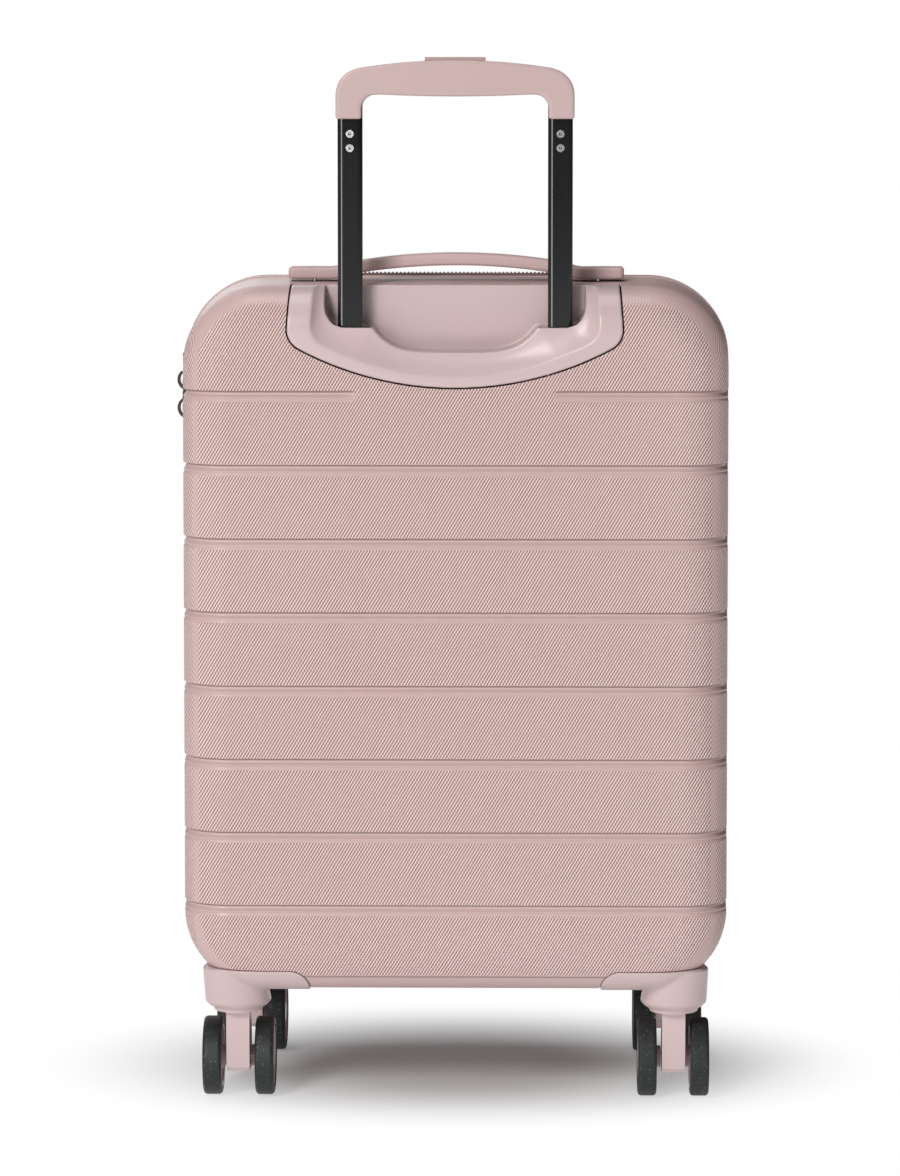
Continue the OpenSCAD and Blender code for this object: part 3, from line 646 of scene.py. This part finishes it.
shell = {
    "halfWidth": 0.1775,
    "low": 0.073,
    "high": 0.533,
    "depth": 0.115,
    "rimAt": 0.006,
    "draft": 0.003,
    "cornerRadius": 0.052,
    "edgeRadius": 0.030,
    "wall": 0.0014,
    "grooves": [0.1334 + 0.0472 * i for i in range(8)],
    # Groove's section: height above its upper edge, and how deep it lies there
    "section": [(0.9, 0.0), (0.5, 0.15), (0.15, 0.75), (-0.25, 1.85), (-0.6, 2.0), (-1.5, 2.0),
                (-2.2, 1.7), (-3.9, 0.3), (-4.4, 0.3), (-4.9, 0.9), (-5.4, 0.9), (-6.6, 0.1), (-7.6, 0.0)],
    "lip": 0.0008,
}


def buildShell(name, side):
    # side is -1 for the trolley half and 1 for the front half
    hw, low, high, depth = shell["halfWidth"], shell["low"], shell["high"], shell["depth"]
    rim = shell["rimAt"]
    piece = addBox(name, (-hw, min(side * rim, side * depth), low), (hw, max(side * rim, side * depth), high))
    selectPart(piece, "FACE", lambda place, facing: facing.y * side > 0.9)
    middle = (low + high) / 2
    lean = (1 - shell["draft"] / hw, 1, 1 - shell["draft"] / (middle - low))
    bpy.ops.transform.resize(value=lean, center_override=(0, side * depth, middle))
    selectPart(piece, "EDGE", lambda place, along: abs(along.y) > 0.9)
    bpy.ops.mesh.bevel(offset=shell["cornerRadius"], segments=18, affect="EDGES")
    selectPart(piece, "EDGE", lambda place, along: abs(place.y - side * depth) < 0.1 * mm)
    bpy.ops.mesh.bevel(offset=shell["edgeRadius"], segments=12, affect="EDGES")
    selectPart(piece, "FACE", lambda place, facing: facing.y * side < -0.9)
    bpy.ops.mesh.delete(type="FACE")
    leaveEdit()

    heights = sorted({round(top + dz * mm, 7) for top in shell["grooves"] for dz, deep in shell["section"]})
    cutAcross(piece, heights, 2)
    lipAt = [side * (rim + d * mm) for d in (0.5, 1.1, 5.6, 6.2, 6.6, 7.6, 10.5)]
    cutAcross(piece, lipAt, 1)
    if side < 0:
        cutAcross(piece, [s * x * mm for s in (-1, 1) for x in (60.5, 61.5, 63, 65, 67.5, 71)], 0)
    fixNormals(piece)

    grooves = piece.vertex_groups.new(name="grooves")
    lip = piece.vertex_groups.new(name="lip")
    sections = sorted(shell["section"])
    deepest = max(deep for dz, deep in shell["section"])
    for v in piece.data.vertices:
        inward = abs(v.co.y) - rim
        bead = smoothStep(inward, -0.4 * mm, 1.1 * mm) * (1 - smoothStep(inward, 5.5 * mm, 6.6 * mm))
        lip.add([v.index], bead, "REPLACE")
        for i, top in enumerate(shell["grooves"]):
            dz = (v.co.z - top) / mm
            if sections[0][0] < dz < sections[-1][0]:
                deep = np.interp(dz, [s[0] for s in sections], [s[1] for s in sections]) / deepest
                deep *= smoothStep(inward, 6.4 * mm, 8.0 * mm)
                if i == 7 and side < 0:
                    deep *= smoothStep(abs(v.co.x), 60.5 * mm, 68 * mm)
                grooves.add([v.index], deep, "REPLACE")
    applyModifier(piece, "DISPLACE", strength=-deepest * mm, mid_level=0, vertex_group="grooves")
    applyModifier(piece, "DISPLACE", strength=shell["lip"], mid_level=0, vertex_group="lip")
    piece.vertex_groups.clear()
    applyModifier(piece, "SOLIDIFY", thickness=shell["wall"], offset=-1, use_even_offset=False)
    return piece


cup = {
    "side": 0.107, "low": 0.4662, "arc": 0.212,
    "rimSide": 0.0922, "rimLow": 0.4731, "rimArc": 0.187,
    "panelAt": -0.082,
    "recessSide": 0.0833, "ledge": 0.5045, "bowl": 0.4885, "corner": 0.013,
    "edgeDepth": -0.1085,
    "gap": 0.0009,
    "tubeAt": 0.0671, "wellHalf": 0.013, "holeHalf": 0.0119,
}


def smileOutline(side, low, arc, grow=0.0, top=0.548):
    # A plate with straight sides that lean in a little and a bowed lower edge
    r = 0.014
    middle = low + arc
    rz = middle - math.sqrt((arc - r) ** 2 - (side - r) ** 2)
    turn = math.degrees(math.atan2(rz - middle, side - r))
    right = [(side + grow - 0.003, top)] + arcPoints((side - r, rz), r + grow, 0, turn, 10)
    bow = arcPoints((0, middle), arc + grow, turn, -180 - turn, 40)[1:-1]
    return right + bow + [(-x, z) for x, z in reversed(right)]


def recessOutline(top=0.548):
    side, ledge, r = cup["recessSide"], cup["ledge"], cup["corner"]
    right = [(side, top)] + arcPoints((side - r, ledge + r), r, 0, -90, 8)
    for i in range(17):
        x = 0.0526 * (1 - (i / 17) ** 1.4)
        right.append((x, ledge - (ledge - cup["bowl"]) * (1 - (x / 0.0526) ** 4.6)))
    return right + [(-x, z) for x, z in reversed(right)]


def alongOutline(points, count):
    # The same outline as evenly spaced points, so that two outlines can be joined
    points = [Vector((p[0], 0, p[1])) for p in points]
    lengths = [0]
    for a, b in zip(points, points[1:]):
        lengths.append(lengths[-1] + (b - a).length)
    wanted = [lengths[-1] * i / (count - 1) for i in range(count)]
    xs = np.interp(wanted, lengths, [p.x for p in points])
    zs = np.interp(wanted, lengths, [p.z for p in points])
    return list(zip(xs, zs))


def buildCup():
    depth = shell["depth"]
    plate = drawPrism("gripRecess", smileOutline(cup["side"], cup["low"], cup["arc"]), -depth - 0.002, -0.077)
    # The case's rounded top edge, run straight across
    r = shell["edgeRadius"]
    top = shell["high"]
    centre = top - shell["draft"] * 0.86 - r
    bend = arcPoints((-depth + r, centre), r, 90, 180, 20)
    profile = [(-0.060, 0.44), (-0.060, top - 0.0014)] + bend + [(-depth, 0.44)]
    block = rollSheet("edgeBlock", [[(x, y, z) for y, z in profile] for x in (-0.13, 0.13)])
    carve(plate, block, "INTERSECT")
    # The scoop sinks from the rim to the recess, fastest at first, and follows the rounded top edge
    count = 121
    outer = alongOutline(smileOutline(cup["rimSide"], cup["rimLow"], cup["rimArc"]), count)
    inner = alongOutline(recessOutline(), count)
    rings = []
    for t in (-0.06, 0, 0.08, 0.18, 0.3, 0.44, 0.6, 0.8, 1.0):
        sink = -0.25 if t < 0 else 1 - (1 - t) ** 1.9
        ring = []
        for a, b in zip(outer, inner):
            x, z = (1 - t) * a[0] + t * b[0], (1 - t) * a[1] + t * b[1]
            rise = min(max(z - centre, 0), r * 0.98)
            face = -depth + r - math.sqrt(r * r - rise * rise)
            ring.append((x, face + (cup["edgeDepth"] + depth) * sink, z))
        rings.append(ring)
    rings.append([(x, cup["panelAt"], z) for x, z in inner])
    scoop = rollSheet("scoop", rings)
    carve(plate, scoop)
    for side in (-1, 1):
        x, well, hole = side * cup["tubeAt"], cup["wellHalf"], cup["holeHalf"]
        carve(plate, addBox("well", (x - well, -0.107, 0.499), (x + well, -0.085, 0.52)))
        carve(plate, addBox("tubeHole", (x - hole, -0.1058, 0.44), (x + hole, -0.0862, 0.51)))
    soften(plate, 0.8 * mm, 5)
    return finish(plate, "back_half", "trim", finishes["trim"], "handle_cup")


def housingTool(sx, sy, grow):
    # Front-view and side-view outlines of a wheel housing's place, crossed
    r = 0.013
    seam = 0.0898
    front = [(0.0938 - grow, 0.05)] + arcPoints((0.0938 + r, seam - r), r + grow, 180, 90, 8)
    front += [(0.21, seam + grow), (0.21, 0.05)]
    lower, upper = sorted((sy * 0.02, sy * 0.125))
    tool = drawPrism("housingPlace", [(sx * x, z) for x, z in front], lower, upper)
    lean = [(0.031 - grow, 0.05)] + arcPoints((0.031 + r, seam - r), r + grow, 180, 90, 8)
    lean += [(0.125, seam + grow), (0.125, 0.05)]
    block = rollSheet("sideView", [[(x, sy * y, z) for y, z in lean] for x in (sx * 0.08, sx * 0.22)])
    carve(tool, block, "INTERSECT")
    return tool


lock = {"height": 0.456, "reach": 0.0283}


def cutShell(piece, side):
    for sx in (-1, 1):
        carve(piece, housingTool(sx, side, 0.0005))
    if side < 0:
        outline = smileOutline(cup["side"], cup["low"], cup["arc"], cup["gap"])
        carve(piece, drawPrism("cupPlace", outline, -0.125, -0.0775))
        z, reach = lock["height"], lock["reach"]
        carve(piece, addBox("lockPlace", (-0.184, -0.0363, z - reach), (-0.166, -0.0053, z + reach)))
    smooth(piece, 38, weighted=True)


backShell = buildShell("shellBack", -1)
cutShell(backShell, -1)
finish(backShell, "back_half", "shell", finishes["shell"], "back_shell")
frontShell = buildShell("shellFront", 1)
cutShell(frontShell, 1)
finish(frontShell, "front_half", "shell", finishes["shell"], "front_shell")
print("shells built", len(backShell.data.vertices), len(frontShell.data.vertices))

recess = buildCup()
print("grip recess built", len(recess.data.polygons))

for row, body in (("back", "back_half"), ("front", "front_half")):
    for side in ("left", "right"):
        node = "housing_" + row + "_" + side
        housing = copyNode(node, "wheelHousing_" + row + "_" + side)
        soften(housing, 0.8 * mm, 5)
        finish(housing, body, "trim", finishes["trim"], node)
print("housings built")

grip = copyNode("grip", "trolleyGrip")
soften(grip, 0.75 * mm, 12)
finish(grip, "handle_inner_stage", "grip", finishes["grip"], "grip")
print("grip built")


# Carrying band: two halves that meet in the middle, each bending between the case and the lifted part

band = {
    "halfLength": 0.1086, "width": 0.026, "at": -0.045,
    "padTop": 0.541, "padLow": 0.5333, "archTop": 0.550, "thick": 0.0078, "pad": 0.036,
}


def roundedRing(x, y, z, width, height, radius, turn=0.0):
    # A rounded rectangle across the band at x, leaned by turn
    ring = []
    for cy, cz, start in ((1, 1, 0), (-1, 1, 90), (-1, -1, 180), (1, -1, 270)):
        for a in range(0, 91, 18):
            angle = math.radians(start + a)
            dy = cy * (width / 2 - radius) + radius * math.cos(angle)
            dz = cz * (height / 2 - radius) + radius * math.sin(angle)
            ring.append((x - dz * math.sin(turn), y + dy, z + dz * math.cos(turn)))
    return ring


def bandHeights(x):
    run = band["halfLength"] - band["pad"]
    rise = band["archTop"] - band["padTop"] - 0.0025
    radius = (run * run + rise * rise) / (2 * rise)
    reach = min(abs(x), run + 0.008)
    arch = band["archTop"] - radius + math.sqrt(radius ** 2 - reach ** 2)
    onPad = smoothStep(abs(x), run - 0.004, run + 0.010)
    top = arch * (1 - onPad) + band["padTop"] * onPad
    low = (arch - band["thick"]) * (1 - onPad) + band["padLow"] * onPad
    return low, top


def buildBand(side, name):
    rings = []
    end = band["halfLength"]
    for i in range(61):
        x = end * i / 60
        low, top = bandHeights(x)
        left, right = bandHeights(max(x - 0.002, 0)), bandHeights(min(x + 0.002, end))
        climb = (right[1] + right[0] - left[1] - left[0]) / 2
        lean = math.atan2(climb, 0.004 if 0 < x < end else 0.002)
        tip = 1 - 0.10 * smoothStep(x, end - 0.002, end)
        rings.append(roundedRing(side * x, band["at"], (low + top) / 2, band["width"] * tip,
                                 (top - low) * tip, 0.0022, side * lean * (x < end - 0.003)))
    half = rollSheet(name, rings)
    selectPart(half, "EDGE", lambda place, along: abs(abs(place.x) - end) < 0.1 * mm)
    bpy.ops.mesh.bevel(offset=0.0012, segments=3, affect="EDGES")
    fixNormals(half)
    smooth(half, 50)
    clearSelection()
    half.data.materials.append(finishes["band"])
    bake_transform(half)
    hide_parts("carry_band_centre", "carry_band_ends")


for side, name in ((-1, "carryBand_left"), (1, "carryBand_right")):
    buildBand(side, name)
print("carrying band built")


# Zip: a woven tape in each half with a coil along its edge

zipper = {"inset": 0.0042, "tapeTo": 0.0138, "edge": 0.0012, "coil": 0.00085, "pitch": 0.0026}


def caseOutline(inset, step):
    # Places round the case at an inset from its sides, each with its outward direction
    hw, r = shell["halfWidth"], shell["cornerRadius"]
    middle = (shell["low"] + shell["high"]) / 2
    cx, cz = hw - r, (shell["high"] - shell["low"]) / 2 - r
    places = []
    for sx, sz, start in ((1, 1, 0), (-1, 1, 90), (-1, -1, 180), (1, -1, 270)):
        count = max(int(r * math.pi / 2 / step), 6)
        for i in range(count):
            a = math.radians(start + 90 * i / count)
            places.append((sx * cx + (r - inset) * math.cos(a), middle + sz * cz + (r - inset) * math.sin(a),
                           math.cos(a), math.sin(a)))
        a = math.radians(start + 90)
        corner = (sx * cx + (r - inset) * math.cos(a), middle + sz * cz + (r - inset) * math.sin(a))
        length = 2 * (cx if sx * sz > 0 else cz)
        run = max(int(length / step), 2)
        for i in range(run):
            shift = length * i / run
            places.append((corner[0] - math.sin(a) * shift, corner[1] + math.cos(a) * shift,
                           math.cos(a), math.sin(a)))
    return places


def zipRise(x, z):
    return 0.0063 * smoothStep(z, 0.505, 0.531) * (1 - smoothStep(abs(x), 0.084, 0.108))


def buildZip(side, name, body, node):
    # The tape is a thin band round the case; its thickness runs inwards
    # Along the top it stands proud of the rims
    rings = []
    for y, share in ((zipper["tapeTo"], 0), (0.010, 0), (0.0064, 0),
                     (0.0040, 0.5), (0.0026, 0.9), (0.0018, 1)):
        rings.append([(x + nx * share * zipRise(x, z), side * y, z + nz * share * zipRise(x, z))
                      for x, z, nx, nz in caseOutline(zipper["inset"], 0.006)])
    tape = rollSheet(name + "Tape", rings, caps=False)
    applyModifier(tape, "SOLIDIFY", thickness=0.0007, offset=0)
    smooth(tape, 60)
    finish(tape, body, "zip", finishes["tape"], node)
    # The coil turns round the tape's edge
    path = caseOutline(zipper["inset"], zipper["pitch"] / 6)
    rings = []
    for i, (x, z, nx, nz) in enumerate(path):
        a = 2 * math.pi * i / 6
        out, y = zipper["coil"] * math.cos(a), side * (zipper["edge"] + zipper["coil"] * math.sin(a))
        out += zipRise(x, z)
        centre = Vector((x + nx * out, y, z + nz * out))
        rings.append([tuple(centre + Vector((nx * c, s, nz * c)))
                      for c, s in ((0.00042 * math.cos(t), 0.00042 * math.sin(t))
                                   for t in (math.radians(k * 90) for k in range(4)))])
    coil = rollSheet(name + "Coil", rings + [rings[0]], caps=False)
    fixNormals(coil)
    smooth(coil, 180)
    finish(coil, body, "zip", finishes["coil"])


buildZip(-1, "zipBack", "back_half", "back_zip_tape")
buildZip(1, "zipFront", "front_half", "front_zip_tape")
print("zip built")


# Fabric hinge on the right side, from one zip tape to the other

hinge = {"low": 0.15, "high": 0.456, "reach": 0.0125, "inset": 0.0051}


def buildHinge():
    x = shell["halfWidth"] - hinge["inset"]
    rings = []
    for i in range(41):
        y = hinge["reach"] * (i / 20 - 1)
        bulge = 0.0012 * math.cos(math.pi * y / hinge["reach"] / 2) ** 2
        rings.append([(x - bulge, y, hinge["low"] + (hinge["high"] - hinge["low"]) * k / 60)
                      for k in range(61)])
    strip = rollSheet("hingeFabric", rings, closed=False)
    applyModifier(strip, "SOLIDIFY", thickness=0.0006, offset=0)
    smooth(strip, 60)
    clearSelection()
    strip.data.materials.append(finishes["tape"])
    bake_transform(strip)


buildHinge()
print("hinge built")


# Linings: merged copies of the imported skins, which go round the tubes and housings


def buildLining(node, name, body):
    lining = copyNode(node, name)
    smooth(lining, 40)
    finish(lining, body, "lining", finishes["lining"], node)


buildLining("back_lining", "liningBack", "back_half")
buildLining("front_lining", "liningFront", "front_half")


# Packing straps: four lengths of flat webbing that meet at a buckle

straps = {"width": 0.025, "thick": 0.0012, "middle": (0.022, 0.285), "reach": (0.166, 0.135),
          "at": -0.060}
buckle = {"halfWide": 0.019, "halfThick": 0.0046, "halfTall": 0.016}


def buildStrap(sx, sz):
    start = Vector((sx * straps["middle"][0], 0, straps["middle"][1] + sz * 0.006))
    end = Vector((sx * straps["reach"][0], 0, straps["middle"][1] + sz * straps["reach"][1]))
    along = (end - start).normalized()
    across = Vector((along.z, 0, -along.x))
    y = straps["at"] + (0.0008 if sz > 0 else -0.0008)
    rings = []
    for i in range(61):
        t = i / 60
        sag = 0.0012 * math.sin(math.pi * t)
        centre = start + (end - start) * t
        ring = []
        for u, v in ((-1, -0.4), (-0.97, -1), (-0.8, -1), (-0.5, -0.9), (0, -0.9), (0.5, -0.9), (0.8, -1),
                     (0.97, -1), (1, -0.4), (1, 0.4), (0.97, 1), (0.8, 1), (0.5, 0.9), (0, 0.9),
                     (-0.5, 0.9), (-0.8, 1), (-0.97, 1), (-1, 0.4)):
            place = centre + across * (u * straps["width"] / 2)
            ring.append((place.x, y - sag + v * straps["thick"] / 2, place.z))
        rings.append(ring)
    name = "strap_" + ("upper" if sz > 0 else "lower") + ("_left" if sx < 0 else "_right")
    strap = rollSheet(name, rings)
    smooth(strap, 50)
    finish(strap, "back_half", "webbing", finishes["webbing"], "packing_straps")


for sx in (-1, 1):
    for sz in (-1, 1):
        buildStrap(sx, sz)


def buildBuckle():
    # A squeeze buckle: a softened frame with two strap slots and a pair of side catches
    x, y, z = 0, straps["at"], straps["middle"][1]
    wide, thick, tall = buckle["halfWide"], buckle["halfThick"], buckle["halfTall"]
    frameBlock = addBox("strapBuckle", (x - wide, y - thick, z - tall), (x + wide, y + thick, z + tall))
    selectPart(frameBlock, "EDGE", lambda place, along: abs(along.y) > 0.9)
    bpy.ops.mesh.bevel(offset=0.005, segments=6, affect="EDGES")
    selectPart(frameBlock, "EDGE", lambda place, along: abs(along.y) < 0.1)
    bpy.ops.mesh.bevel(offset=0.0012, segments=3, affect="EDGES")
    leaveEdit()
    for side in (-1, 1):
        carve(frameBlock, addBox("slot", (side * 0.0157 - 0.0013, y - 0.01, z - 0.0135),
                                 (side * 0.0157 + 0.0013, y + 0.01, z + 0.0135)))
        carve(frameBlock, addBox("catch", (-0.006, y - 0.0052, z + side * 0.0120 - 0.0012),
                                 (0.006, y + 0.0052, z + side * 0.0120 + 0.0012)))
    carve(frameBlock, addBox("recessedPanel", (-0.009, y + 0.0040, z - 0.008), (0.009, y + 0.01, z + 0.008)))
    smooth(frameBlock, 35, weighted=True)
    finish(frameBlock, "back_half", "black_plastic", finishes["black"], "packing_straps")


buildBuckle()


# Divider: a cloth panel with piping round its edge and round a pocket

divider = {"halfWidth": 0.164, "low": 0.088, "high": 0.518, "corner": 0.044, "at": 0.0082,
           "piping": 0.0012, "pocketPiping": 0.0009, "pocket": (0.125, 0.16, 0.40, 0.02)}


def roundedOutline(halfWidth, low, high, r, steps=10):
    points = []
    for sx, z, start in ((1, high - r, 0), (-1, high - r, 90), (-1, low + r, 180), (1, low + r, 270)):
        points += arcPoints((sx * (halfWidth - r), z), r, start, start + 90, steps)
    return points


def buildDivider():
    y = divider["at"]
    outline = roundedOutline(divider["halfWidth"], divider["low"], divider["high"], divider["corner"])
    middle = (divider["low"] + divider["high"]) / 2
    rings = []
    for depth, inset in ((-0.0004, 0.0), (-0.0006, 0.004), (-0.0007, 0.03), (-0.0007, 0.10), (-0.0007, 0.15)):
        k = 1 - inset / divider["halfWidth"]
        rings.append([(x * k, y + depth, middle + (z - middle) * k) for x, z in outline])
    back = [[(x, y + 0.0008, z) for x, y0, z in ring] for ring in reversed(rings)]
    panel = rollSheet("dividerPanel", list(reversed(rings)) + list(reversed(back)))
    smooth(panel, 50)
    finish(panel, "front_half", "lining", finishes["lining"], "divider_panel")
    for label, outlinePoints, radius in (
            ("dividerPiping", outline, divider["piping"]),
            ("pocketPiping", roundedOutline(*divider["pocket"]), divider["pocketPiping"])):
        rings = []
        count = len(outlinePoints)
        for i, (px, pz) in enumerate(outlinePoints + outlinePoints[:1]):
            before, after = outlinePoints[i - 1 if i else count - 1], outlinePoints[(i + 1) % count]
            along = Vector((after[0] - before[0], 0, after[1] - before[1])).normalized()
            out = Vector((along.z, 0, -along.x))
            rings.append([(px + out.x * radius * math.cos(a), y - 0.0003 + radius * 0.8 * math.sin(a),
                           pz + out.z * radius * math.cos(a))
                          for a in (math.radians(k * 45) for k in range(8))])
        piping = rollSheet(label, rings, caps=False)
        fixNormals(piping)
        smooth(piping, 180)
        finish(piping, "front_half", "lining", finishes["webbing"])


buildDivider()
print("interior built")


# CAD nodes that keep their shape

nodeFinishes = {
    "tube": ["outer_tubes", "middle_tubes", "inner_tubes"],
    "black": ["tube_foot_blocks", "middle_guides", "inner_guides", "lock_case",
              "zip_pull_upper", "zip_pull_lower"],
    "dial": ["lock_dial_1", "lock_dial_2", "lock_dial_3"],
    "steel": ["back_screws", "front_screws", "tube_rivets", "lock_button"],
    "rod": ["push_rods"],
    "grip": ["release_button"],
    "zipMetal": ["zip_slider_upper", "zip_slider_lower"],
}
for place in ("back_left", "back_right", "front_left", "front_right"):
    nodeFinishes["trim"] = nodeFinishes.get("trim", []) + ["fork_" + place]
    nodeFinishes["steel"].append("pins_" + place)
    for which in ("_outer", "_inner"):
        nodeFinishes["trim"].append("hub_" + place + which)
        nodeFinishes["rubber"] = nodeFinishes.get("rubber", []) + ["tyre_" + place + which]
for finishName, names in nodeFinishes.items():
    for name in names:
        for materialSlot in nodes[name].material_slots:
            materialSlot.material = finishes[finishName]
clearSelection()
